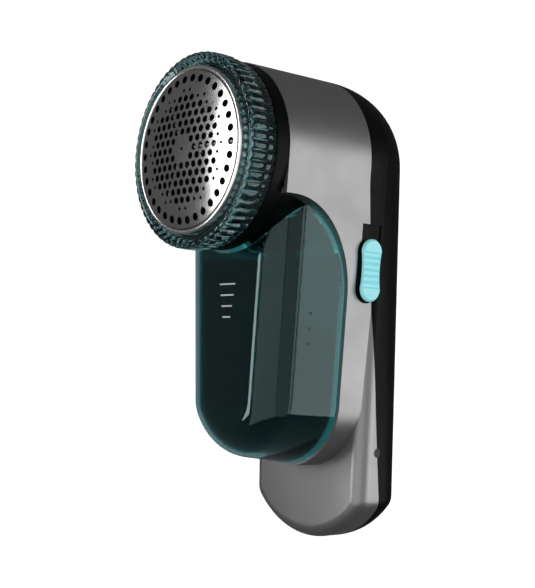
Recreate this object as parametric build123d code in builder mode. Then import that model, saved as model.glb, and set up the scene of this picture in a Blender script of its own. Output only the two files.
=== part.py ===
"""Hand-held rechargeable fabric shaver, built piece by piece.

Frame: +Z up along the handle, the shaving foil faces -Y, the flat back faces +Y.
The origin is at the middle of the overall box, on the plane that its foot touches.
All lengths are in millimetres.
"""
from build123d import *
from math import acos, atan2, cos, radians, sin, sqrt
import os

os.makedirs("parts", exist_ok=True)

# ---------------------------------------------------------------- driving dimensions
HEIGHT = 175.4  # foot to crown
DEPTH = 85.6  # top of the domed foil to flat back
FOIL_DOME = 2.6  # how far the foil's dome stands in front of its rim
RING_R = 35.4  # crests of the guard ring, the widest and highest round
FRONT_Y = FOIL_DOME - DEPTH / 2  # plane of the foil's rim
BACK_Y = DEPTH / 2
HEAD_Z = HEIGHT - RING_R  # height of the cutting axis

WALL = 1.8  # moulded shells
GAP = 0.3  # between pieces that move past each other
FIT = 0.05  # radial running fit of a shaft

HEAD_R = 34.6  # silver barrel round the cutting axis
FOOT_HALF = 29.9  # half width of the handle at its foot
FOOT_R = 38.0  # wide arc across the foot
FOOT_CORNER = 7.0

RING_FRONT = FRONT_Y + 0.7
RING_BACK = FRONT_Y + 12.7
COLLAR_BACK = FRONT_Y + 18.3  # the silver barrel starts here
SEAM_Y = FRONT_Y + 57.7  # joint of the two casings at the head
SEAM_FOOT_Y = FRONT_Y + 73.6  # the same joint at the foot
HANDLE_Y = FRONT_Y + 61.0  # front face of the handle below the bin
HANDLE_EDGE = 5.0
PAD_Y = FRONT_Y + 50.6  # raised pad that the bin rests against

BIN_FRONT = FRONT_Y + 20.3
BIN_FOOT_Z = HEAD_Z - 113.0
BIN_CROWN_Z = HEAD_Z - 16.0  # top of the bin's side walls
BIN_ARCH_DEPTH = 28.0  # elliptical round of the bin's rear top corner
BIN_ARCH_HEIGHT = 34.0
BIN_WALL = 1.6
BIN_CORNER = 13.0  # soft round of the bin's front

FOIL_R = 28.3
RIM_R = 30.3
DRUM_R = 32.4
DRUM_BACK = FRONT_Y + 46.0
MOUTH_R = 35.2  # bin mouth round the drum

BLADE_COUNT = 3
RIB_COUNT = 62
KNOB_Z = HEAD_Z - 39.8
KNOB_Y = FRONT_Y + 59.7
KNOB_TRAVEL = 4.0
KNOB_HALF = 4.7
KNOB_REACH = 11.4
KNOB_RISE = 0.8
KNOB_WAIST = 0.6
SCALLOP_PITCH = 2.24  # thumb grooves across the knob
KNOB_SIDE_X = 33.10  # side face of the casings beside the knob
SIDE_LEAN = 2.20  # degrees that the casing's sides close in towards the foot
TONGUE_HALF = 5.5  # black bed under the knob
TONGUE_FOOT = 12.1  # how far the bed reaches below and above the knob's middle
TONGUE_TOP = 12.4
TONGUE_SINK = 0.5
NOTCH_FRONT = 4.0  # the bed's upper notch, in front of the knob's middle
STEM_HALF = 2.2
STEM_HEIGHT = 8.0

LIGHT_Z = HEAD_Z - 106.4
LIGHT_Y = FRONT_Y + 69.2
LIGHT_R = 1.7

SOCKET_Y = FRONT_Y + 72.0
SOCKET_WIDTH = 9.0
SOCKET_THICK = 3.2

SCREW_PLACES = [(-17.0, 16.0), (17.0, 16.0), (-17.0, 128.0), (17.0, 128.0)]
SCREW_HEAD_R = 2.4
SCREW_R = 1.2
POST_R = 3.4

CELL_R = 7.1
CELL_LENGTH = 50.0
CELL_Z = 20.0
CELL_Y = FRONT_Y + 71.2

BOARD_Y = FRONT_Y + 68.0
BOARD_FOOT_Z = 74.0
BOARD_TOP_Z = 112.0

MOTOR_FRONT = FRONT_Y + 22.0
MOTOR_LENGTH = 30.0
MOTOR_R = 12.0
SHAFT_R = 1.0
HUB_R = 6.5
HUB_BORE_R = 3.0
BLADE_R = 26.8
CARRIER_Y = FRONT_Y + 7.0
BLADE_GAP = 0.25
FOIL_THICK = 0.35
FOIL_BALL_R = 160.0
FOIL_BALL_Y = FRONT_Y - FOIL_DOME + FOIL_BALL_R
HOLE_PITCH = 3.5
RIB_R = 1.75


# ---------------------------------------------------------------- helpers
def facing_front(y):
    """Plane across the object at y: sketch x is +X, sketch y is +Z, and its normal is -Y."""
    return Plane(origin=(0, y, 0), x_dir=(1, 0, 0), z_dir=(0, -1, 0))


def side_plane(x):
    """Plane along the object at x: sketch x is +Y, sketch y is +Z, and its normal is +X."""
    return Plane(origin=(x, 0, 0), x_dir=(0, 1, 0), z_dir=(1, 0, 0))


def on_axis(y):
    """Plane across the cutting axis at y, with its origin on that axis."""
    return Plane(origin=(0, y, HEAD_Z), x_dir=(1, 0, 0), z_dir=(0, -1, 0))


def knob_plane(height, climb=0.0):
    """Plane over the casing's side at the knob: sketch x is +Y, sketch y runs up the side."""
    lean = radians(SIDE_LEAN)
    origin = (
        KNOB_SIDE_X + height * cos(lean) + climb * sin(lean),
        KNOB_Y,
        KNOB_Z - height * sin(lean) + climb * cos(lean),
    )
    return Plane(origin=origin, x_dir=(0, 1, 0), z_dir=(cos(lean), 0, -sin(lean)))


def rounded_outline(head_r, foot_half, corner_r, foot_r, foot_z):
    """Face of a round head whose two tangent sides run down to an arched foot with soft corners."""
    corner_x = foot_half - corner_r
    arch_z = foot_z + foot_r
    corner_z = arch_z - sqrt((foot_r - corner_r) ** 2 - corner_x**2)
    reach = sqrt(corner_x**2 + (HEAD_Z - corner_z) ** 2)
    normal = atan2(corner_z - HEAD_Z, corner_x) + acos((head_r - corner_r) / reach)
    tip = atan2(corner_z - arch_z, corner_x)
    shoulder = (head_r * cos(normal), HEAD_Z + head_r * sin(normal))
    hip = (corner_x + corner_r * cos(normal), corner_z + corner_r * sin(normal))
    toe = (foot_r * cos(tip), arch_z + foot_r * sin(tip))
    knuckle = (normal + tip) / 2
    knuckle_point = (corner_x + corner_r * cos(knuckle), corner_z + corner_r * sin(knuckle))
    with BuildSketch() as outline:
        with BuildLine():
            ThreePointArc((-shoulder[0], shoulder[1]), (0, HEAD_Z + head_r), shoulder)
            Line(shoulder, hip)
            ThreePointArc(hip, knuckle_point, toe)
            ThreePointArc(toe, (0, foot_z), (-toe[0], toe[1]))
            ThreePointArc((-toe[0], toe[1]), (-knuckle_point[0], knuckle_point[1]), (-hip[0], hip[1]))
            Line((-hip[0], hip[1]), (-shoulder[0], shoulder[1]))
        make_face()
    return outline.sketch


def body_outline(head_inset=0.0, foot_inset=0.0):
    """Front outline of the casings, drawn in by one amount at the head and another at the foot."""
    return rounded_outline(
        HEAD_R - head_inset,
        FOOT_HALF - foot_inset,
        max(FOOT_CORNER - foot_inset, 1.5),
        FOOT_R - foot_inset,
        foot_inset,
    )


def bin_outline(head_inset=0.0, foot_inset=0.0):
    """Front outline of the lint bin: the casing's own sides, closed below by a deep round foot."""
    return rounded_outline(
        HEAD_R - head_inset, 29.0 - foot_inset, 20.0 - foot_inset, 31.0 - foot_inset, BIN_FOOT_Z + foot_inset
    )


def crown_inset(y, start, end, rise):
    """How far a back edge has rounded in at y, along an ellipse from start to end."""
    share = min(max((y - start) / (end - start), 0.0), 1.0)
    return rise * (1 - sqrt(1 - share**2))


def side_silhouette(wall):
    """Side outline of the casings behind the bin and above it, drawn in by wall."""
    top_z = BIN_CROWN_Z + wall
    pad = PAD_Y + wall
    spring_y = PAD_Y - BIN_ARCH_DEPTH
    spring_z = BIN_CROWN_Z - BIN_ARCH_HEIGHT
    front = FRONT_Y - 5.0
    back = BACK_Y + 1.0
    with BuildSketch() as outline:
        with BuildLine():
            Line((front, top_z), (spring_y, top_z))
            EllipticalCenterArc(
                (spring_y, spring_z), BIN_ARCH_DEPTH + wall, BIN_ARCH_HEIGHT + wall, start_angle=0, arc_size=90
            )
            Polyline(
                (pad, spring_z),
                (pad, BIN_FOOT_Z - 2.0),
                (back, BIN_FOOT_Z - 2.0),
                (back, HEIGHT + 1.0),
                (front, HEIGHT + 1.0),
                (front, top_z),
            )
        make_face()
    return outline.sketch


def crown_block(wall):
    """Rear of the casings: it starts straight and rounds in to the flat back, most at the head."""
    shoulder = SEAM_Y + 1.0
    back = BACK_Y - wall
    with BuildPart() as block:
        for step in (0.0, 0.15, 0.35, 0.55, 0.72, 0.86, 0.95, 1.0):
            y = shoulder + step * (back - shoulder)
            head = crown_inset(y, shoulder, back + 1.0, 15.0 - wall)
            foot = crown_inset(y, back - 10.0, back + 0.5, 8.5)
            with BuildSketch(facing_front(y)):
                add(body_outline(wall + head, wall + foot))
        loft()
    return block.part


def casing_solid(wall):
    """Outside of the two closed casings, or the space inside them when it is drawn in by a wall."""
    front = COLLAR_BACK if wall < WALL else COLLAR_BACK - 1.0
    shoulder = SEAM_Y + 1.0
    handle = HANDLE_Y + wall
    crown = crown_block(wall)
    with BuildPart() as grip:
        add(crown)
        split(bisect_by=facing_front(handle), keep=Keep.BOTTOM)
        fillet(grip.faces().sort_by(Axis.Y)[0].edges(), radius=HANDLE_EDGE - wall)
    with BuildPart() as nose:
        add(crown)
        with BuildSketch(facing_front(shoulder)):
            add(bin_outline(wall, wall))
        extrude(amount=shoulder - handle - HANDLE_EDGE, mode=Mode.INTERSECT)
        with BuildSketch(facing_front(front)):
            add(bin_outline(wall, wall))
        extrude(amount=front - shoulder)
        with BuildSketch(side_plane(0)):
            add(side_silhouette(wall))
        extrude(amount=2 * RING_R, both=True, mode=Mode.INTERSECT)
        add(grip.part)
    return nose.part


def seam_face():
    """Side outline of everything behind the joint of the casings, which leans back below the head."""
    with BuildSketch() as outline:
        with BuildLine():
            FilletPolyline(
                (SEAM_Y, HEIGHT + 5.0),
                (SEAM_Y, HEAD_Z - 8.0),
                (SEAM_FOOT_Y, -5.0),
                radius=60.0,
            )
            Polyline(
                (SEAM_FOOT_Y, -5.0),
                (BACK_Y + 5.0, -5.0),
                (BACK_Y + 5.0, HEIGHT + 5.0),
                (SEAM_Y, HEIGHT + 5.0),
            )
        make_face()
    return outline.sketch


def knob_outline(half_width, half_height, waist=0.0):
    """Rounded thumb-piece outline, drawn in a little at the middle of its sides."""
    shoulder = half_height - half_width
    with BuildSketch() as outline:
        with BuildLine():
            ThreePointArc((-half_width, shoulder), (0, half_height), (half_width, shoulder))
            ThreePointArc((half_width, shoulder), (half_width - waist, 0), (half_width, -shoulder))
            ThreePointArc((half_width, -shoulder), (0, -half_height), (-half_width, -shoulder))
            ThreePointArc((-half_width, -shoulder), (waist - half_width, 0), (-half_width, shoulder))
        make_face()
    return outline.sketch


def washer(plane, outer, inner, length):
    """Plain tube from the plane towards the back."""
    with BuildPart() as tube:
        with BuildSketch(plane):
            Circle(outer)
            Circle(inner, mode=Mode.SUBTRACT)
        extrude(amount=-length)
    return tube.part


def finish(piece, name):
    """Name a finished piece and write it."""
    piece.label = name
    export_step(piece, f"parts/{name}.step")


# ---------------------------------------------------------------- casings
outside = casing_solid(0.0)
hollow = casing_solid(WALL)
sunk = casing_solid(TONGUE_SINK)

with BuildPart() as tongue:
    with BuildSketch(knob_plane(-4.0)):
        with Locations((0, (TONGUE_TOP - TONGUE_FOOT) / 2)):
            SlotOverall(TONGUE_TOP + TONGUE_FOOT, 2 * TONGUE_HALF, rotation=90)
        with Locations(((TONGUE_HALF - NOTCH_FRONT) / 2, TONGUE_TOP)):
            Rectangle(TONGUE_HALF + NOTCH_FRONT, 9.0)
    extrude(amount=8.0)

with BuildPart() as shared_holes:
    with BuildSketch(Plane.XY.offset(-1.0)):
        with Locations((0, SOCKET_Y)):
            SlotOverall(SOCKET_WIDTH, SOCKET_THICK)
    extrude(amount=8.0)
    with BuildSketch(side_plane(FOOT_HALF - 5.0)):
        with Locations((LIGHT_Y, LIGHT_Z)):
            Circle(LIGHT_R)
    extrude(amount=15.0)

with BuildPart() as front_shell:
    add(outside)
    add(hollow, mode=Mode.SUBTRACT)
    with BuildSketch(side_plane(0)):
        add(seam_face())
    extrude(amount=2 * RING_R, both=True, mode=Mode.SUBTRACT)
    with BuildSketch(on_axis(COLLAR_BACK - 1.0)):
        Circle(DRUM_R + GAP)
    extrude(amount=COLLAR_BACK - 1.0 - DRUM_BACK - GAP, mode=Mode.SUBTRACT)
    add(tongue.part, mode=Mode.SUBTRACT)
    add(shared_holes.part, mode=Mode.SUBTRACT)
finish(front_shell.part, "front_shell")

with BuildPart() as tongue_skin:
    add(tongue.part)
    add(sunk, mode=Mode.INTERSECT)
    add(hollow, mode=Mode.SUBTRACT)

with BuildPart() as rear_shell:
    add(outside)
    add(hollow, mode=Mode.SUBTRACT)
    with BuildSketch(side_plane(0)):
        add(seam_face())
    extrude(amount=2 * RING_R, both=True, mode=Mode.INTERSECT)
    add(tongue.part, mode=Mode.SUBTRACT)
    add(tongue_skin.part)
    with BuildSketch(knob_plane(-6.0, KNOB_TRAVEL / 2)):
        Rectangle(2 * STEM_HALF + 2 * GAP, STEM_HEIGHT + KNOB_TRAVEL + 2 * GAP)
    extrude(amount=12.0, mode=Mode.SUBTRACT)
    with BuildSketch(facing_front(BACK_Y - 12.0)):
        with Locations(*SCREW_PLACES):
            Circle(POST_R)
    extrude(amount=-(12.0 - WALL / 2))
    with BuildSketch(facing_front(BACK_Y - 13.0)):
        with Locations(*SCREW_PLACES):
            Circle(SCREW_R)
    extrude(amount=-14.0, mode=Mode.SUBTRACT)
    with BuildSketch(facing_front(BACK_Y - 4.0)):
        with Locations(*SCREW_PLACES):
            Circle(SCREW_HEAD_R + 0.1)
    extrude(amount=-5.0, mode=Mode.SUBTRACT)
    add(shared_holes.part, mode=Mode.SUBTRACT)
finish(rear_shell.part, "rear_shell")

with BuildPart() as rear_screws:
    with BuildSketch(facing_front(BACK_Y - 4.0)):
        with Locations(*SCREW_PLACES):
            Circle(SCREW_HEAD_R)
    extrude(amount=-1.8)
    with BuildSketch(facing_front(BACK_Y - 15.0)):
        with Locations(*SCREW_PLACES):
            Circle(SCREW_R)
    extrude(amount=-11.0)
    with BuildSketch(facing_front(BACK_Y - 3.2)):
        with Locations(*SCREW_PLACES):
            Rectangle(3.0, 0.6)
            Rectangle(0.6, 3.0)
    extrude(amount=-2.0, mode=Mode.SUBTRACT)
finish(rear_screws.part, "rear_screws")

# ---------------------------------------------------------------- head: collar, drum, ring and foil
with BuildPart() as head_collar:
    with BuildSketch(Plane.XY):
        with BuildLine():
            Polyline(
                (31.0, FRONT_Y + 5.0),
                (32.0, FRONT_Y + 5.0),
                (32.0, RING_BACK),
                (34.0, RING_BACK),
                (34.3, RING_BACK + 0.4),
                (34.3, COLLAR_BACK),
                (31.0, COLLAR_BACK),
                close=True,
            )
        make_face()
    revolve(axis=Axis.Y)
head_collar.part = head_collar.part.moved(Location((0, 0, HEAD_Z)))
finish(head_collar.part, "head_collar")

with BuildPart() as lint_duct:
    with BuildSketch(Plane.XY):
        with BuildLine():
            Polyline(
                (4.3, MOTOR_FRONT - 1.4),
                (13.9, MOTOR_FRONT - 1.4),
                (13.9, DRUM_BACK - 1.5),
                (DRUM_R - 1.5, DRUM_BACK - 1.5),
                (DRUM_R - 1.5, COLLAR_BACK),
                (DRUM_R, COLLAR_BACK),
                (DRUM_R, DRUM_BACK),
                (MOTOR_R + 0.2, DRUM_BACK),
                (MOTOR_R + 0.2, MOTOR_FRONT),
                (4.3, MOTOR_FRONT),
                close=True,
            )
        make_face()
    revolve(axis=Axis.Y)
    with BuildSketch(Plane.XY.offset(-DRUM_R - 1.0)):
        with Locations((0, (COLLAR_BACK + DRUM_BACK) / 2)):
            Rectangle(36.0, DRUM_BACK - COLLAR_BACK - 6.0)
    extrude(amount=DRUM_R - 13.0, mode=Mode.SUBTRACT)
lint_duct.part = lint_duct.part.moved(Location((0, 0, HEAD_Z)))
finish(lint_duct.part, "lint_duct")

with BuildPart() as guard_ring:
    with BuildSketch(facing_front(RING_FRONT)):
        Circle(RING_R - 1.2)
        with PolarLocations(RING_R - RIB_R, RIB_COUNT):
            Circle(RIB_R)
    extrude(amount=RING_FRONT + GAP - RING_BACK)
    with BuildSketch(Plane.XY):
        with BuildLine():
            Polyline(
                (30.7, RING_FRONT + 0.3),
                (31.4, RING_FRONT),
                (33.6, RING_FRONT + 0.6),
                (RING_R, RING_FRONT + 1.8),
                (RING_R + 1.0, RING_BACK),
                (32.3, RING_BACK),
                (32.3, RING_FRONT + 3.6),
                (30.7, RING_FRONT + 3.6),
                close=True,
            )
        make_face()
    revolve(axis=Axis.Y, mode=Mode.INTERSECT)
guard_ring.part = guard_ring.part.moved(Location((0, 0, HEAD_Z)))
finish(guard_ring.part, "guard_ring")

with BuildPart() as foil_rim:
    with BuildSketch(Plane.XY):
        with BuildLine():
            Polyline(
                (FOIL_R, FRONT_Y - 0.05),
                (28.8, FRONT_Y - 0.2),
                (29.8, FRONT_Y - 0.1),
                (RIM_R, FRONT_Y + 0.5),
                (RIM_R, FRONT_Y + 6.0),
                (29.2, FRONT_Y + 6.0),
                (29.2, FRONT_Y + 0.7),
                (FOIL_R, FRONT_Y + 0.5),
                close=True,
            )
        make_face()
    revolve(axis=Axis.Y)
foil_rim.part = foil_rim.part.moved(Location((0, 0, HEAD_Z)))
finish(foil_rim.part, "foil_rim")


holes = []
for row in range(-7, 8):
    for column in range(-7, 8):
        spot = (HOLE_PITCH * (column + 0.5 * (row % 2)), HOLE_PITCH * sqrt(0.75) * row)
        reach = sqrt(spot[0] ** 2 + spot[1] ** 2)
        if 5.0 < reach < 21.4:
            holes.append((spot, 1.2 if reach < 19.0 else 0.65))

with BuildPart() as foil:
    with BuildSketch(Plane.XY):
        with Locations((0, FOIL_BALL_Y)):
            Circle(FOIL_BALL_R)
            Circle(FOIL_BALL_R - FOIL_THICK, mode=Mode.SUBTRACT)
        with Locations((FOIL_R / 2, FRONT_Y)):
            Rectangle(FOIL_R, 4 * FOIL_DOME, mode=Mode.INTERSECT)
    revolve(axis=Axis.Y)
    foil.part = foil.part.moved(Location((0, 0, HEAD_Z)))
    with BuildSketch(on_axis(FRONT_Y - 2 * FOIL_DOME)):
        with PolarLocations(25.5, 34):
            Circle(1.4)
        for spot, radius in holes:
            with Locations(spot):
                Circle(radius)
        Circle(0.6)
    extrude(amount=-4 * FOIL_DOME, mode=Mode.SUBTRACT)
finish(foil.part, "foil")

# ---------------------------------------------------------------- cutter and motor
with BuildPart() as blades:
    with BuildSketch(on_axis(FRONT_Y - FOIL_DOME)):
        with PolarLocations(HUB_R + (BLADE_R - HUB_R) / 2, BLADE_COUNT):
            Rectangle(BLADE_R - HUB_R, 0.6)
    extrude(amount=FRONT_Y - FOIL_DOME - CARRIER_Y)
    with Locations((0, FOIL_BALL_Y, HEAD_Z)):
        Sphere(FOIL_BALL_R - FOIL_THICK - BLADE_GAP, mode=Mode.INTERSECT)
finish(blades.part, "blades")

with BuildPart() as blade_carrier:
    with BuildSketch(on_axis(FRONT_Y - 1.0)):
        Circle(HUB_R)
    extrude(amount=-13.0)
    with BuildSketch(on_axis(CARRIER_Y)):
        Circle(BLADE_R)
    extrude(amount=-1.4)
    with BuildSketch(on_axis(CARRIER_Y + 1.4)):
        with PolarLocations(15.5, 6):
            Rectangle(20.0, 1.2)
    extrude(amount=-3.6)
    with BuildSketch(on_axis(FRONT_Y + 4.8)):
        RegularPolygon(HUB_BORE_R, 6)
    extrude(amount=-8.0, mode=Mode.SUBTRACT)
finish(blade_carrier.part, "blade_carrier")

with BuildPart() as drive_hub:
    with BuildSketch(on_axis(FRONT_Y + 9.0)):
        RegularPolygon(HUB_BORE_R - 0.1, 6)
    extrude(amount=-7.0)
    with BuildSketch(on_axis(FRONT_Y + 16.0)):
        Circle(3.6)
    extrude(amount=-2.0)
    with BuildSketch(on_axis(FRONT_Y + 11.0)):
        Circle(SHAFT_R)
    extrude(amount=-8.0, mode=Mode.SUBTRACT)
finish(drive_hub.part, "drive_hub")

with BuildPart() as blade_spring:
    with BuildLine() as coil:
        Helix(pitch=1.1, height=3.2, radius=1.9, center=(0, FRONT_Y + 5.3, HEAD_Z), direction=(0, 1, 0))
    with BuildSketch(Plane(origin=coil.line @ 0, z_dir=coil.line % 0)):
        Circle(0.25)
    sweep(is_frenet=True)
finish(blade_spring.part, "blade_spring")

with BuildPart() as motor_shaft:
    with BuildSketch(on_axis(FRONT_Y + 11.0)):
        Circle(SHAFT_R)
    extrude(amount=-(MOTOR_LENGTH + 13.0))
finish(motor_shaft.part, "motor_shaft")

finish(washer(on_axis(MOTOR_FRONT - 1.4), 4.0, SHAFT_R + FIT, 2.2), "motor_bush")

with BuildPart() as motor_can:
    with BuildSketch(on_axis(MOTOR_FRONT)):
        Circle(MOTOR_R)
    extrude(amount=-MOTOR_LENGTH)
    with BuildSketch(on_axis(MOTOR_FRONT + 0.8)):
        Circle(MOTOR_R - 0.8)
    extrude(amount=-MOTOR_LENGTH, mode=Mode.SUBTRACT)
    with BuildSketch(on_axis(MOTOR_FRONT - 1.0)):
        Circle(4.0)
    extrude(amount=-3.0, mode=Mode.SUBTRACT)
finish(motor_can.part, "motor_can")

with BuildPart() as motor_magnets:
    with BuildSketch(on_axis(MOTOR_FRONT + 4.0)):
        Circle(MOTOR_R - 0.8)
        Circle(9.0, mode=Mode.SUBTRACT)
        Rectangle(5.0, 2 * MOTOR_R, mode=Mode.SUBTRACT)
    extrude(amount=-20.0)
finish(motor_magnets.part, "motor_magnets")

with BuildPart() as motor_core:
    with BuildSketch(on_axis(MOTOR_FRONT + 5.0)):
        Circle(8.5)
        with PolarLocations(8.0, 3):
            Rectangle(3.0, 1.2, mode=Mode.SUBTRACT)
        Circle(SHAFT_R, mode=Mode.SUBTRACT)
    extrude(amount=-18.0)
finish(motor_core.part, "motor_core")

finish(washer(on_axis(MOTOR_FRONT + 24.5), 2.6, SHAFT_R, 4.0), "commutator")

with BuildPart() as motor_end_cap:
    with BuildSketch(on_axis(MOTOR_FRONT + MOTOR_LENGTH)):
        Circle(MOTOR_R)
        Circle(SHAFT_R + FIT, mode=Mode.SUBTRACT)
    extrude(amount=-2.6)
    with BuildSketch(on_axis(MOTOR_FRONT + MOTOR_LENGTH + 2.6)):
        with Locations((-7.0, 0), (7.0, 0)):
            Rectangle(0.6, 3.0)
    extrude(amount=-3.0)
finish(motor_end_cap.part, "motor_end_cap")

with BuildPart() as motor_screws:
    with BuildSketch(on_axis(MOTOR_FRONT - 2.6)):
        with Locations((-8.5, 0), (8.5, 0)):
            Circle(1.9)
    extrude(amount=-1.2)
finish(motor_screws.part, "motor_screws")

# ---------------------------------------------------------------- lint bin


def bin_block(inset):
    """Outside of the lint bin, or its hollow when drawn in: drafted sides and a soft front."""
    rear = FRONT_Y + 58.0
    front = BIN_FRONT + inset
    with BuildPart() as block:
        with BuildSketch(facing_front(rear)):
            add(bin_outline(inset + 0.1, inset + 0.1))
        extrude(amount=rear - front, taper=7.5)
        fillet(block.faces().sort_by(Axis.Y)[0].edges(), radius=BIN_CORNER - inset)
        with BuildSketch(side_plane(0)):
            add(side_silhouette(-GAP - inset))
        extrude(amount=2 * RING_R, both=True, mode=Mode.SUBTRACT)
    return block.part


with BuildPart() as lint_bin:
    add(bin_block(0.0))
    add(bin_block(BIN_WALL), mode=Mode.SUBTRACT)
    with BuildSketch(on_axis(COLLAR_BACK - 1.0)):
        Circle(MOUTH_R)
    extrude(amount=COLLAR_BACK - 1.0 - DRUM_BACK - 2.0, mode=Mode.SUBTRACT)
finish(lint_bin.part, "lint_bin")

# ---------------------------------------------------------------- switch
with BuildPart() as switch_knob:
    with BuildSketch(knob_plane(GAP)):
        add(knob_outline(KNOB_HALF, KNOB_REACH, KNOB_WAIST))
    extrude(amount=KNOB_RISE)
    with BuildSketch(knob_plane(GAP + KNOB_RISE)):
        add(knob_outline(KNOB_HALF, KNOB_REACH, KNOB_WAIST))
    with BuildSketch(knob_plane(GAP + KNOB_RISE + 0.7)):
        add(knob_outline(KNOB_HALF - 0.6, KNOB_REACH - 0.6, KNOB_WAIST))
    loft()
    for step in range(6):
        with Locations(knob_plane(GAP + KNOB_RISE + 1.59, SCALLOP_PITCH * (step - 2.5))):
            Cylinder(1.4, 4 * KNOB_HALF, rotation=(0, 90, 0), mode=Mode.SUBTRACT)
    with BuildSketch(knob_plane(-4.0)):
        Rectangle(2 * STEM_HALF, STEM_HEIGHT)
    extrude(amount=4.0 + GAP)
finish(switch_knob.part, "switch_knob")

with BuildPart() as switch_lever:
    with BuildSketch(knob_plane(-7.0)):
        Rectangle(2.0, 2.0)
    extrude(amount=3.0)
finish(switch_lever.part, "switch_lever")

with BuildPart() as slide_switch:
    with BuildSketch(knob_plane(-12.0, KNOB_TRAVEL / 2)):
        Rectangle(6.0, 14.0)
    extrude(amount=5.0)
finish(slide_switch.part, "slide_switch")

# ---------------------------------------------------------------- electrics
with BuildPart() as circuit_board:
    with BuildSketch(facing_front(BOARD_Y)):
        with Locations((0, (BOARD_FOOT_Z + BOARD_TOP_Z) / 2)):
            Rectangle(38.0, BOARD_TOP_Z - BOARD_FOOT_Z)
    extrude(amount=-1.2)
finish(circuit_board.part, "circuit_board")

with BuildPart() as battery_cells:
    with BuildSketch(Plane.XY.offset(CELL_Z)):
        with Locations((-CELL_R - 0.2, CELL_Y), (CELL_R + 0.2, CELL_Y)):
            Circle(CELL_R)
    extrude(amount=CELL_LENGTH)
finish(battery_cells.part, "battery_cells")

with BuildPart() as battery_straps:
    with BuildSketch(Plane.XY.offset(CELL_Z + CELL_LENGTH)):
        with Locations((0, CELL_Y)):
            SlotOverall(22.0, 5.0)
    extrude(amount=0.3)
    with BuildSketch(Plane.XY.offset(CELL_Z - 0.3)):
        with Locations((0, CELL_Y)):
            SlotOverall(22.0, 5.0)
    extrude(amount=0.3)
finish(battery_straps.part, "battery_straps")

with BuildPart() as charging_socket:
    with BuildSketch(Plane.XY.offset(2.6)):
        with Locations((0, SOCKET_Y)):
            SlotOverall(SOCKET_WIDTH - 0.1, SOCKET_THICK - 0.1)
            SlotOverall(SOCKET_WIDTH - 0.7, SOCKET_THICK - 0.7, mode=Mode.SUBTRACT)
    extrude(amount=7.0)
    with BuildSketch(Plane.XY.offset(9.0)):
        with Locations((0, SOCKET_Y)):
            SlotOverall(SOCKET_WIDTH - 0.1, SOCKET_THICK - 0.1)
    extrude(amount=0.6)
    with BuildSketch(Plane.XY.offset(4.0)):
        with Locations((0, SOCKET_Y)):
            Rectangle(6.4, 0.7)
    extrude(amount=5.5)
finish(charging_socket.part, "charging_socket")

with BuildPart() as charge_light:
    with BuildSketch(side_plane(FOOT_HALF - 2.0)):
        with Locations((LIGHT_Y, LIGHT_Z)):
            Circle(LIGHT_R - 0.05)
    extrude(amount=2.4)
finish(charge_light.part, "charge_light")
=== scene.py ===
# %% [markdown]
# # A hand-held fabric shaver
# The shaver's measured parts come from a fixed frame: casings, cutter, bin and switch, each in its own
# place. This file gives them their looks. The scene is in metres, small sizes are written in millimetres,
# and places are measured from the frame's own boxes, so a piece made here sits where the real one would.
# Everything round on the head is measured from the cutting axis and from the steel rim's front, which
# stands a little ahead of the ring. The foil is pressed on a ball, and the bin's side arch springs below
# the axis.

import bmesh
import bpy
import math
from mathutils import Matrix, Vector
from mathutils.bvhtree import BVHTree


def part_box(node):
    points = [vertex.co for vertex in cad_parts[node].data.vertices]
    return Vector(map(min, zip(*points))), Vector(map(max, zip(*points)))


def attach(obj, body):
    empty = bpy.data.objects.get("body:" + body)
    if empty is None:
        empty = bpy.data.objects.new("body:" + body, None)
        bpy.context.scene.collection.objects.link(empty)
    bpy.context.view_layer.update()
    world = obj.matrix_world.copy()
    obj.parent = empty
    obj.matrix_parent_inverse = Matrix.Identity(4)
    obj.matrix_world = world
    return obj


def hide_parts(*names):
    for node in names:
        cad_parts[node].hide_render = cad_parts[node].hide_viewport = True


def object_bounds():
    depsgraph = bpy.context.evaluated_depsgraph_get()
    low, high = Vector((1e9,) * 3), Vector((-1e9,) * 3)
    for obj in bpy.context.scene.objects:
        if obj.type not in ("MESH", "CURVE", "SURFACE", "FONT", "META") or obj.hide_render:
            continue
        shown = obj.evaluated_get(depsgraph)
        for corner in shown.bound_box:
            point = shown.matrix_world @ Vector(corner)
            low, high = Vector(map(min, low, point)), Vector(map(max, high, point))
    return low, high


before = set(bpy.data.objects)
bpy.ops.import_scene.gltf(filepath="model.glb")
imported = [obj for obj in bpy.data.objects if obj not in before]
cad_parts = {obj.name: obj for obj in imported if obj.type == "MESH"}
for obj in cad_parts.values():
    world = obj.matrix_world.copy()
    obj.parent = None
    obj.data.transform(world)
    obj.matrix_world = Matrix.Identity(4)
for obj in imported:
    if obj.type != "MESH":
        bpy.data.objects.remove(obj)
cad_low, cad_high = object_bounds()
MM = 0.001
ring_low, ring_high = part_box("guard_ring")
AXIS_Z = (ring_low.z + ring_high.z) / 2
RING_R = (ring_high.x - ring_low.x) / 2
RING_SETBACK = 0.7 * MM
RIM_Y = ring_low.y - RING_SETBACK
DOME_R = 160 * MM
BIN_SPRING_Z = AXIS_Z - 50 * MM
print("shaver box in mm", [round(v / MM, 1) for v in cad_high - cad_low])

# %% [markdown]
# ## Camera
# The shaver stands upright and is looked at from its front right, from a little below the middle, with
# a slightly long lens so that the head doesn't bulge. The camera is also rolled by two degrees, which
# makes a tall object look relaxed. The plain Standard view keeps the backdrop white.

# %% Camera
VIEW_AZIMUTH = math.radians(49.91)
VIEW_ELEVATION = math.radians(-3.4)
VIEW_ROLL = math.radians(1.94)
VIEW_DISTANCE = 0.4263
VIEW_LENS = 73.47

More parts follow.
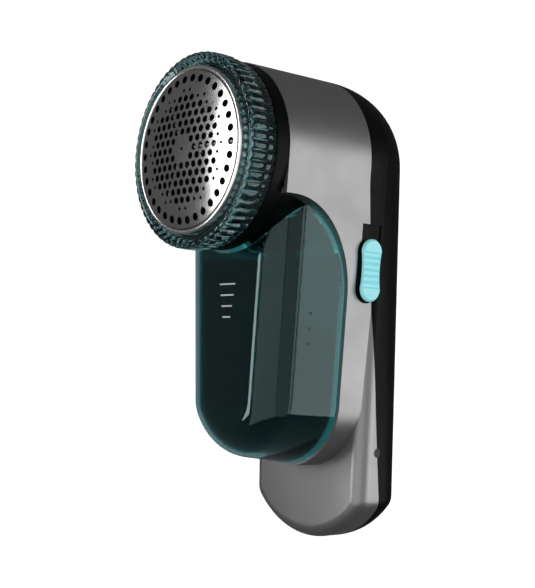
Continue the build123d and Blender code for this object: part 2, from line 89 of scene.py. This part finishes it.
aim = Vector((17.16 * MM, RIM_Y + 25.03 * MM, AXIS_Z - 50.23 * MM))
towards_camera = Vector((
    math.sin(VIEW_AZIMUTH) * math.cos(VIEW_ELEVATION),
    -math.cos(VIEW_AZIMUTH) * math.cos(VIEW_ELEVATION),
    math.sin(VIEW_ELEVATION),
))
camera_data = bpy.data.cameras.new("camera")
camera_data.lens = VIEW_LENS
camera_data.sensor_width = 36.0
camera_data.clip_start = 0.01
camera = bpy.data.objects.new("camera", camera_data)
bpy.context.scene.collection.objects.link(camera)
look = towards_camera.to_track_quat("Z", "Y").to_matrix().to_4x4()
camera.matrix_world = (
    Matrix.Translation(aim + towards_camera * VIEW_DISTANCE) @ look @ Matrix.Rotation(VIEW_ROLL, 4, "Z")
)
bpy.context.scene.camera = camera
bpy.context.scene.view_settings.view_transform = "Standard"
print("camera stands at", [round(v, 3) for v in camera.matrix_world.translation])

# %% [markdown]
# ## Colour and node helpers
# Paint and plastic colours are picked on a screen as sRGB hex values, but a shader works with linear
# light, so one function turns them. One more adds a shader node with its settings and wires it up, which
# keeps each material readable as a short list. The last two give what most finishes here share: a fine
# grain of a real size, and a gloss that wanders a little where hands have been.


# %% Helpers for materials
def linear(hex_colour):
    """sRGB hex such as #8FE6EE to linear RGBA."""
    channels = [int(hex_colour[i:i + 2], 16) / 255 for i in (1, 3, 5)]
    return [c / 12.92 if c <= 0.04045 else ((c + 0.055) / 1.055) ** 2.4 for c in channels] + [1.0]


def add_node(tree, kind, settings=None, inputs=None, links=None):
    """Add a node, set its properties and sockets, and link its sockets to (node, output) pairs."""
    node = tree.nodes.new(kind)
    for key, value in (settings or {}).items():
        setattr(node, key, value)
    for key, value in (inputs or {}).items():
        node.inputs[key].default_value = value
    for key, (source, output) in (links or {}).items():
        tree.links.new(source.outputs[output], node.inputs[key])
    return node


def new_material(name, colour, **sockets):
    """A Principled material with uniform values on its own sockets."""
    material = bpy.data.materials.new(name)
    material.use_nodes = True
    shader = material.node_tree.nodes["Principled BSDF"]
    shader.inputs["Base Color"].default_value = linear(colour)
    for key, value in sockets.items():
        shader.inputs[key.replace("_", " ")].default_value = value
    return material, material.node_tree, shader


GRAIN_HEIGHT = 0.02 * MM


def surface_grain(tree, shader, size, strength):
    """Fine moulded or painted grain: noise of a real size in metres, as bump. Returns its coordinates."""
    coordinates = add_node(tree, "ShaderNodeTexCoord")
    noise = add_node(
        tree, "ShaderNodeTexNoise", inputs={"Scale": 1 / size, "Detail": 3.0},
        links={"Vector": (coordinates, "Object")},
    )
    bump = add_node(
        tree, "ShaderNodeBump", inputs={"Strength": strength, "Distance": GRAIN_HEIGHT},
        links={"Height": (noise, "Fac")},
    )
    tree.links.new(bump.outputs["Normal"], shader.inputs["Normal"])
    return coordinates


def patchy_roughness(tree, shader, coordinates, size, low, high):
    """Handling marks: roughness wanders between two values over a larger noise."""
    noise = add_node(
        tree, "ShaderNodeTexNoise", inputs={"Scale": 1 / size, "Detail": 4.0},
        links={"Vector": (coordinates, "Object")},
    )
    spread = add_node(
        tree, "ShaderNodeMapRange",
        inputs={"From Min": 0.3, "From Max": 0.7, "To Min": low, "To Max": high},
        links={"Value": (noise, "Fac")},
    )
    tree.links.new(spread.outputs["Result"], shader.inputs["Roughness"])


# %% [markdown]
# ## Casing materials
# The front casing is moulded ABS with a satin silver paint: fine metal flakes in a clear binder. It reads
# as a half-metal, so its metallic value is high but its highlights stay broad. The rear casing is plain
# black ABS straight from an etched mould, which gives a soft sheen with a fine grain.

# %% Casing materials
silver_paint, tree, shader = new_material(
    "satin_silver_paint", "#8B8B8B", Metallic=0.7, Roughness=0.42, Coat_Weight=0.1, Coat_Roughness=0.3
)
coordinates = surface_grain(tree, shader, size=0.35 * MM, strength=0.08)
patchy_roughness(tree, shader, coordinates, size=14 * MM, low=0.36, high=0.44)

black_abs, tree, shader = new_material(
    "moulded_black_abs", "#080A09", Roughness=0.5, Specular_IOR_Level=0.06
)
coordinates = surface_grain(tree, shader, size=0.4 * MM, strength=0.12)
patchy_roughness(tree, shader, coordinates, size=18 * MM, low=0.36, high=0.48)

# %% [markdown]
# ## Clear and tinted materials
# The lint bin and the ring are polycarbonate tinted a dark smoky teal. Both are shaded as clear plastic
# whose surface carries the tint, and the colour is painted paler where the wall turns away from the
# camera:
# a painted rim highlight. The frosted edges and the bright aqua switch are given a weak painted glow,
# which stands in for light that a clear wall carries to its cut edges and that the aqua plastic scatters
# inside.


# %% Clear and tinted materials
def clear_with_painted_rim_light(name, face, rim, shine, roughness):
    """Clear plastic whose base colour is painted paler towards grazing angles: a painted rim highlight."""
    material, tree, shader = new_material(
        name, face, Roughness=roughness, IOR=1.58, Transmission_Weight=1.0, Specular_IOR_Level=shine
    )
    shader.inputs["Specular Tint"].default_value = linear("#B4D2D0")
    # Painted rim highlight: the base colour moves from face to rim as the surface turns away from the
    # camera.
    weight = add_node(tree, "ShaderNodeLayerWeight", inputs={"Blend": 0.32})
    edge = add_node(
        tree, "ShaderNodeMapRange", inputs={"From Min": 0.4, "From Max": 0.98},
        links={"Value": (weight, "Facing")},
    )
    tint = add_node(tree, "ShaderNodeMix", settings={"data_type": "RGBA"}, links={0: (edge, "Result")})
    tint.inputs[6].default_value = linear(face)
    tint.inputs[7].default_value = linear(rim)
    tree.links.new(tint.outputs[2], shader.inputs["Base Color"])
    return material


# The second colour of each is its painted rim highlight.
smoked_teal = clear_with_painted_rim_light("smoked_teal_polycarbonate", "#35585A", "#BDF0F0", 0.2, 0.03)
ring_teal = clear_with_painted_rim_light("ribbed_teal_polycarbonate", "#4C6A6C", "#A9D2D3", 1.0, 0.03)


def frosted_with_painted_glow(name, glow):
    """Frosted cut face of a clear wall with a painted glow: emission that stands in for the light the wall
    carries.
    """
    material, tree, shader = new_material(name, "#6FD3D6", Roughness=0.5, Emission_Strength=glow)
    shader.inputs["Emission Color"].default_value = linear("#7FE3E6")
    surface_grain(tree, shader, size=0.5 * MM, strength=0.1)
    return material


# The bin's frosted rear edge gets a weak painted glow.
painted_glow_edge = frosted_with_painted_glow("frosted_cyan_edge", 0.25)
# The aqua switch is given a weak painted glow, though it is no lamp.
aqua_abs_painted_glow, tree, shader = new_material(
    "moulded_aqua_abs", "#9FEEF6", Roughness=0.38, IOR=1.54, Emission_Strength=0.18
)
shader.inputs["Emission Color"].default_value = linear("#8FF2FA")
coordinates = surface_grain(tree, shader, size=0.3 * MM, strength=0.06)
patchy_roughness(tree, shader, coordinates, size=6 * MM, low=0.34, high=0.45)

# %% [markdown]
# ## Metals and inner plastics
# The foil is a thin stainless sheet with a satin face, and its rim is rolled and polished bright. Inside
# are a nickel-plated motor can, turned brass, ground blades and a white acetal driver.


# %% Metals and inner plastics
def worked_metal(name, colour, roughness, grain_size, strength):
    """Metal whose finish is a fine random grain of the given size."""
    material, tree, shader = new_material(name, colour, Metallic=1.0, Roughness=roughness)
    coordinates = surface_grain(tree, shader, grain_size, strength)
    patchy_roughness(tree, shader, coordinates, 9 * MM, roughness * 0.85, roughness * 1.2)
    return material


def moulded(name, colour, roughness):
    """Opaque moulded plastic with a fine mould grain."""
    material, tree, shader = new_material(name, colour, Roughness=roughness, IOR=1.5)
    coordinates = surface_grain(tree, shader, size=0.4 * MM, strength=0.08)
    patchy_roughness(tree, shader, coordinates, 12 * MM, roughness * 0.9, roughness * 1.1)
    return material


foil_steel = worked_metal("satin_stainless_foil", "#C6C6C5", 0.15, 0.3 * MM, 0.02)
rim_steel = worked_metal("polished_stainless_rim", "#E4E4E3", 0.2, 0.5 * MM, 0.02)
blade_steel = worked_metal("ground_blade_steel", "#77797B", 0.42, 0.3 * MM, 0.1)
plated_steel = worked_metal("nickel_plated_steel", "#B8B4AA", 0.25, 0.6 * MM, 0.05)
screw_steel = worked_metal("blackened_screw_steel", "#4A4A4C", 0.35, 0.3 * MM, 0.1)
turned_brass = worked_metal("turned_brass", "#C9A24E", 0.25, 0.4 * MM, 0.08)
magnet_iron = worked_metal("ferrite_and_laminations", "#3B3B3D", 0.55, 0.3 * MM, 0.2)
white_acetal = moulded("moulded_white_acetal", "#D9D8D2", 0.4)
board_resist = moulded("green_solder_resist", "#1B5A35", 0.35)
cell_wrap = moulded("shrink_wrapped_cell", "#2C4F86", 0.3)
smoked_lens, tree, shader = new_material(
    "smoked_lens", "#050606", Roughness=0.3, Specular_IOR_Level=0.2
)
surface_grain(tree, shader, size=0.5 * MM, strength=0.02)

FINISHES = {
    "front_shell": silver_paint, "rear_shell": black_abs, "head_collar": black_abs, "lint_duct": black_abs,
    "rear_screws": screw_steel, "guard_ring": ring_teal, "foil_rim": rim_steel, "foil": foil_steel,
    "blades": blade_steel, "blade_carrier": black_abs, "drive_hub": white_acetal,
    "blade_spring": plated_steel, "motor_shaft": blade_steel, "motor_bush": turned_brass,
    "motor_can": plated_steel, "motor_magnets": magnet_iron, "motor_core": magnet_iron,
    "commutator": turned_brass, "motor_end_cap": black_abs, "motor_screws": screw_steel,
    "lint_bin": smoked_teal, "switch_knob": aqua_abs_painted_glow, "switch_lever": black_abs,
    "slide_switch": plated_steel, "circuit_board": board_resist, "battery_cells": cell_wrap,
    "battery_straps": plated_steel, "charging_socket": plated_steel, "charge_light": smoked_lens,
}
for node, finish in FINISHES.items():
    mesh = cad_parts[node].data
    mesh.materials.clear()
    mesh.materials.append(finish)
print(len(FINISHES), "parts have a finish")


# %% [markdown]
# ## Smooth-shaded mouldings
# The frame's parts are loose triangles, which is fine for a hidden motor but shows facets on a painted
# shell. The shells, the bin, the collar, the drum and the knob are copied, their triangles are joined, and
# every edge softer than a chosen angle is shaded smooth, as the polished mould would leave it.


# %% Smooth copies of the visible mouldings
def finish_piece(name, mesh, body, node, material):
    """Link a mesh as a piece that stands for a part and moves with a body."""
    mesh.materials.clear()
    mesh.materials.append(material)
    piece = bpy.data.objects.new(name, mesh)
    bpy.context.scene.collection.objects.link(piece)
    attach(piece, body)
    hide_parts(node)
    return piece


SMOOTH_BELOW = math.radians(28)
JOIN_WITHIN = 0.002 * MM
SLIVER = 0.001 * MM


def joined_copy(node):
    """The part's own triangles, joined at their corners and shaded smooth below the chosen angle."""
    shape = bmesh.new()
    shape.from_mesh(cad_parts[node].data)
    bmesh.ops.remove_doubles(shape, verts=shape.verts, dist=JOIN_WITHIN)
    bmesh.ops.dissolve_degenerate(shape, edges=shape.edges, dist=SLIVER)
    for face in shape.faces:
        face.smooth = True
    for edge in shape.edges:
        edge.smooth = len(edge.link_faces) == 2 and edge.calc_face_angle(0.0) < SMOOTH_BELOW
    mesh = bpy.data.meshes.new(node + "_surface")
    shape.to_mesh(mesh)
    shape.free()
    return mesh


for node, body in (("front_shell", "casing"), ("rear_shell", "casing"), ("lint_bin", "bin"),
                   ("head_collar", "casing"), ("lint_duct", "casing"), ("switch_knob", "knob")):
    piece = finish_piece(node + "_moulding", joined_copy(node), body, node, FINISHES[node])
    print(piece.name, len(piece.data.polygons), "faces")

# %% [markdown]
# ## Foil
# The foil is a shallow dome with punched holes. Its triangles are long slivers between the holes, so
# their own normals would make the steel look dented. Each corner on the front of the sheet takes the
# normal of the ball that the dome is pressed on; the walls of the holes keep their own.

# %% Foil with the dome's own normals
NEARLY_ALONG = 0.9
foil_mesh = joined_copy("foil")
ball_middle = Vector((0.0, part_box("foil")[0].y + DOME_R, AXIS_Z))
foil_mesh.shade_smooth()
corner_normals = []
for polygon in foil_mesh.polygons:
    for corner in polygon.loop_indices:
        spot = foil_mesh.vertices[foil_mesh.loops[corner].vertex_index].co
        out = (spot - ball_middle).normalized()
        if abs(polygon.normal.dot(out)) > NEARLY_ALONG:
            corner_normals.append(out if polygon.normal.dot(out) > 0 else -out)
        else:
            corner_normals.append(polygon.normal.copy())
foil_mesh.normals_split_custom_set(corner_normals)
finish_piece("foil_sheet", foil_mesh, "foil_cap", "foil", foil_steel)
print("foil", len(foil_mesh.polygons), "faces")

# %% [markdown]
# ## Rolled rim and ribbed ring
# Both are round the cutting axis, so each is a closed profile of radius and depth, swept round in small
# steps. The rim is a rolled steel bead. The ring has 62 thumb ribs: each is a convex lobe between two
# narrow grooves, in a tall front stage and a lower rear stage, and the lobes shrink towards the front
# crest, which leaves its edge wavy. Inside the crest a channel slopes down to the rim.


# %% Rim and ring
ROUND_BELOW = math.radians(50)


def spun(name, profile, segments, lobes=1):
    """Closed piece from (radius, depth, lobe depth) in mm, swept round the cutting axis."""
    shape = bmesh.new()
    rows = []
    for step in range(segments):
        turn = math.tau * step / segments
        across = 2 * ((turn * lobes / math.tau) % 1.0) - 1
        dip = 1 - math.sqrt(1 - min(abs(across), 0.999) ** 2)
        row = []
        for radius, depth, lobe in profile:
            reach = (radius - lobe * dip) * MM
            row.append(shape.verts.new((
                reach * math.cos(turn), RIM_Y + depth * MM, AXIS_Z + reach * math.sin(turn)
            )))
        rows.append(row)
    count = len(profile)
    for here, there in zip(rows, rows[1:] + rows[:1]):
        for i in range(count):
            shape.faces.new((here[i], here[(i + 1) % count], there[(i + 1) % count], there[i]))
    bmesh.ops.recalc_face_normals(shape, faces=shape.faces)
    for face in shape.faces:
        face.smooth = True
    for edge in shape.edges:
        edge.smooth = edge.calc_face_angle(0.0) < ROUND_BELOW
    mesh = bpy.data.meshes.new(name)
    shape.to_mesh(mesh)
    shape.free()
    return mesh


SKIRT_END = 5.9
BEAD_R = 29.32
BEAD_HALF = 0.95
BEAD_DEPTH = 0.65
BEAD_RISE = 0.8
rim_profile = [(29.3, SKIRT_END, 0), (29.3, 0.9, 0), (28.4, 0.5, 0)]
for turn in range(0, 181, 20):
    angle = math.radians(180 - turn)
    rim_profile.append((BEAD_R + BEAD_HALF * math.cos(angle), BEAD_DEPTH - BEAD_RISE * math.sin(angle), 0))
rim_profile.append((BEAD_R + BEAD_HALF, SKIRT_END, 0))
finish_piece("rolled_rim", spun("rolled_rim", rim_profile, 192), "foil_cap", "foil_rim", rim_steel)

RIBS = 62
STEPS_PER_RIB = 10
CREST = RING_R / MM
ring_profile = [
    (30.8, 4.6, 0), (30.8, 2.0, 0), (31.3, 1.7, 0), (32.8, 1.1, 0.1), (33.5, 0.75, 0.3),
    (34.2, 0.85, 0.5), (CREST - 0.5, 1.2, 0.8), (CREST - 0.1, 1.9, 1.0), (CREST, 2.8, 1.1),
    (CREST, 8.0, 1.1), (CREST - 0.3, 8.5, 0.9), (CREST - 0.8, 8.8, 0.5), (CREST - 0.8, 11.9, 0.5),
    (CREST - 1.1, 12.3, 0.4), (32.4, 12.3, 0), (32.4, 4.6, 0),
]
ring_mesh = spun("ribbed_ring", ring_profile, RIBS * STEPS_PER_RIB, lobes=RIBS)
finish_piece("ribbed_ring", ring_mesh, "height_ring", "guard_ring", ring_teal)
print("ring", len(ring_mesh.polygons), "faces")

# %% [markdown]
# ## Rear edge of the bin
# Where the bin's wall ends against the casing its cut face is frosted, and it is given a painted glow that
# stands in for the light the clear wall carries along: a pale cyan line. The edge follows a quarter of an
# ellipse at the top and runs straight down below it, so its faces are found by how near they lie to that
# curve.

# %% Frosted rear edge of the bin
bin_low, bin_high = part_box("lint_bin")
ARCH_DEPTH = 27.7 * MM
ARCH_HEIGHT = 33.7 * MM
NEAR_ARCH = 0.03
bin_mesh = bpy.data.objects["lint_bin_moulding"].data
# The faces along the rear edge take the painted cyan glow.
bin_mesh.materials.append(painted_glow_edge)
frosted = 0
for polygon in bin_mesh.polygons:
    across = polygon.center.y - bin_high.y + ARCH_DEPTH
    above = max(polygon.center.z - BIN_SPRING_Z, 0.0)
    slope = Vector((0.0, across / ARCH_DEPTH**2, above / ARCH_HEIGHT**2)).normalized()
    share = (across / ARCH_DEPTH) ** 2 + (above / ARCH_HEIGHT) ** 2
    if abs(share - 1) < NEAR_ARCH and polygon.normal.dot(slope) > NEARLY_ALONG:
        polygon.material_index = 1
        frosted += 1
print("frosted faces on the bin", frosted)

# %% [markdown]
# ## Lining and printed marks of the bin
# A second, paler wall stands inside the bin up to just below the drum: the catch basket. It is the bin's
# own shape drawn in a little and cut by a plane that rises to the back. Its frosted top edge has a painted
# glow, which shows as a pale line through the outer wall. The printed marks are thin plates: four level
# bars in front and three dots on the side. Each finds the wall by a ray, so that it lies on the surface
# whatever the draft is.

# %% Bin lining
LINING_SCALE = (0.93, 0.93, 0.96, 1.0)
LINING_TOP = 37.5 * MM
LINING_RISE = 0.12
lining_clear = clear_with_painted_rim_light("pale_smoked_lining", "#9DB5B6", "#BDF0F0", 0.3, 0.03)
lining_rim_painted_glow = frosted_with_painted_glow("frosted_lining_rim", 1.6)
lining = bmesh.new()
lining.from_mesh(bin_mesh)
for face in lining.faces:
    face.material_index = 0
rear_middle = Vector((0.0, bin_high.y, BIN_SPRING_Z))
shrink = (
    Matrix.Translation(rear_middle) @ Matrix.Diagonal(LINING_SCALE) @ Matrix.Translation(-rear_middle)
)
bmesh.ops.transform(lining, matrix=shrink, verts=lining.verts)
cut = bmesh.ops.bisect_plane(
    lining, geom=lining.verts[:] + lining.edges[:] + lining.faces[:], dist=SLIVER,
    plane_co=(0.0, bin_low.y, AXIS_Z - LINING_TOP),
    plane_no=Vector((0.0, -LINING_RISE, 1.0)).normalized(), clear_outer=True,
)
cut_edges = [part for part in cut["geom_cut"] if isinstance(part, bmesh.types.BMEdge)]
top = bmesh.ops.holes_fill(lining, edges=cut_edges)
# The top edge takes the painted glow.
for face in top["faces"]:
    face.material_index = 1
    face.smooth = False
lining_mesh = bpy.data.meshes.new("bin_lining")
lining.to_mesh(lining_mesh)
lining.free()
lining_mesh.materials.append(lining_clear)
lining_mesh.materials.append(lining_rim_painted_glow)
bin_lining = bpy.data.objects.new("bin_lining", lining_mesh)
print("lining", len(lining_mesh.polygons), "faces,", len(top["faces"]), "on its top edge")


# %% Printed marks
def printed_ink(name, colour):
    """Matt printing ink with the slight tooth of a pad print."""
    material, tree, shader = new_material(name, colour, Roughness=0.5)
    surface_grain(tree, shader, size=0.2 * MM, strength=0.1)
    return material


pale_ink = printed_ink("pale_printed_ink", "#C9D2D2")
dark_ink = printed_ink("dark_printed_ink", "#0A0D0D")
INK_PLATE = 0.08
BAR_HEIGHT = 0.55
DOT_WIDTH = 0.8
DOT_HEIGHT = 1.1
wall = BVHTree.FromPolygons(
    [vertex.co for vertex in bin_mesh.vertices], [polygon.vertices[:] for polygon in bin_mesh.polygons]
)


def printed_marks(name, material, start, direction, plates):
    """Thin plates on the bin's wall: each is (drop below the start, width, height) in mm."""
    shape = bmesh.new()
    for drop, width, height in plates:
        spot, normal, _, _ = wall.ray_cast(start - Vector((0.0, 0.0, drop * MM)), direction)
        place = Matrix.Translation(spot) @ normal.to_track_quat("Z", "Y").to_matrix().to_4x4()
        plate = Matrix.Diagonal((width, height, INK_PLATE, 1.0))
        bmesh.ops.create_cube(shape, size=MM, matrix=place @ plate)
    mesh = bpy.data.meshes.new(name)
    shape.to_mesh(mesh)
    shape.free()
    mesh.materials.append(material)
    return bpy.data.objects.new(name, mesh)


level_marks = printed_marks(
    "level_marks", pale_ink, Vector((0.0, cad_low.y, AXIS_Z)), Vector((0.0, 1.0, 0.0)),
    [(46.5 + 4.0 * bar, 9.0 - 1.5 * bar, BAR_HEIGHT) for bar in range(4)],
)
side_marks = printed_marks(
    "side_marks", dark_ink, Vector((cad_high.x, RIM_Y + 36 * MM, AXIS_Z)), Vector((-1.0, 0.0, 0.0)),
    [(drop, DOT_WIDTH, DOT_HEIGHT) for drop in (56.6, 62.0, 67.6)],
)
for piece in (bin_lining, level_marks, side_marks):
    bpy.context.scene.collection.objects.link(piece)
    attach(piece, "bin")
print("marks printed on the bin")

# %% [markdown]
# ## Floor and light
# The floor and the curved backdrop are one bowl, spun from a short profile, so no corner shows from any
# side. It is seen directly and through the clear parts, but it is left out of the mirror reflections: a
# studio keeps black cards round a shiny object, and only the softboxes are meant to show in the paint and
# the steel. It doesn't light the shaver either; the softboxes and a dim grey sky do that.

# %% Floor and backdrop
FLOOR_R = 1.6
SWEEP_R = 0.9
SWEEP_STEPS = 8
WALL_TOP = 2.6
bowl = bmesh.new()
profile = [bowl.verts.new((0.0, 0.0, 0.0)), bowl.verts.new((FLOOR_R, 0.0, 0.0))]
for turn in range(1, SWEEP_STEPS + 1):
    angle = math.radians(90 * turn / SWEEP_STEPS)
    reach = FLOOR_R + SWEEP_R * math.sin(angle)
    profile.append(bowl.verts.new((reach, 0.0, SWEEP_R * (1 - math.cos(angle)))))
profile.append(bowl.verts.new((FLOOR_R + SWEEP_R, 0.0, WALL_TOP)))
profile_edges = [bowl.edges.new(pair) for pair in zip(profile, profile[1:])]
bmesh.ops.spin(
    bowl, geom=profile + profile_edges, cent=(0, 0, 0), axis=(0, 0, 1), angle=math.tau, steps=96,
    use_merge=True,
)
bmesh.ops.remove_doubles(bowl, verts=bowl.verts, dist=0.1 * MM)
for face in bowl.faces:
    face.smooth = True
bowl_mesh = bpy.data.meshes.new("studio_bowl")
bowl.to_mesh(bowl_mesh)
bowl.free()
paper, tree, shader = new_material("pale_backdrop_paper", "#F4F4F3", Roughness=0.9, Emission_Strength=1.0)
shader.inputs["Emission Color"].default_value = linear("#FFFFFF")
bowl_mesh.materials.append(paper)
studio_bowl = bpy.data.objects.new("studio_bowl", bowl_mesh)
bpy.context.scene.collection.objects.link(studio_bowl)
studio_bowl.visible_glossy = False
studio_bowl.visible_diffuse = False

world = bpy.data.worlds.new("studio")
world.use_nodes = True
sky = world.node_tree.nodes["Background"]
sky.inputs["Color"].default_value = linear("#CCCCCC")
sky.inputs["Strength"].default_value = 0.18
bpy.context.scene.world = world

# %% [markdown]
# ## Softboxes
# Each softbox is there for what mirrors it. The large side box is seen in the silver barrel and in part of
# the bin's side. A thin strip and an edge box next to it break that side into bands. The corner box
# spreads over the bin's front corner and the handle, and the fill box softens the dark gap between it and
# the side boxes. The narrow front box makes the bright right part of the foil.


# %% Softboxes
SOFTBOX_DISTANCE = 1.0


def softbox(name, azimuth, elevation, width, height, power):
    """Rectangular area light that faces the shaver's middle from an azimuth and elevation in degrees."""
    light = bpy.data.lights.new(name, "AREA")
    light.shape = "RECTANGLE"
    light.size = width
    light.size_y = height
    light.energy = power
    turn, rise = math.radians(azimuth), math.radians(elevation)
    direction = Vector((math.sin(turn) * math.cos(rise), -math.cos(turn) * math.cos(rise), math.sin(rise)))
    lamp = bpy.data.objects.new(name, light)
    bpy.context.scene.collection.objects.link(lamp)
    lamp.matrix_world = (
        Matrix.Translation(aim + direction * SOFTBOX_DISTANCE)
        @ direction.to_track_quat("Z", "Y").to_matrix().to_4x4()
    )


softbox("side_softbox", azimuth=131.5, elevation=-4, width=0.66, height=0.9, power=5.4)
softbox("side_strip", azimuth=111.5, elevation=-4, width=0.025, height=0.9, power=0.16)
softbox("side_edge", azimuth=105, elevation=-4, width=0.12, height=0.9, power=0.7)
softbox("fill_softbox", azimuth=79, elevation=-6, width=0.74, height=1.2, power=1.7)
softbox("corner_softbox", azimuth=19, elevation=-10, width=1.55, height=1.3, power=7)
softbox("front_softbox", azimuth=-33, elevation=5, width=0.18, height=0.9, power=3.6)
print("studio is lit")
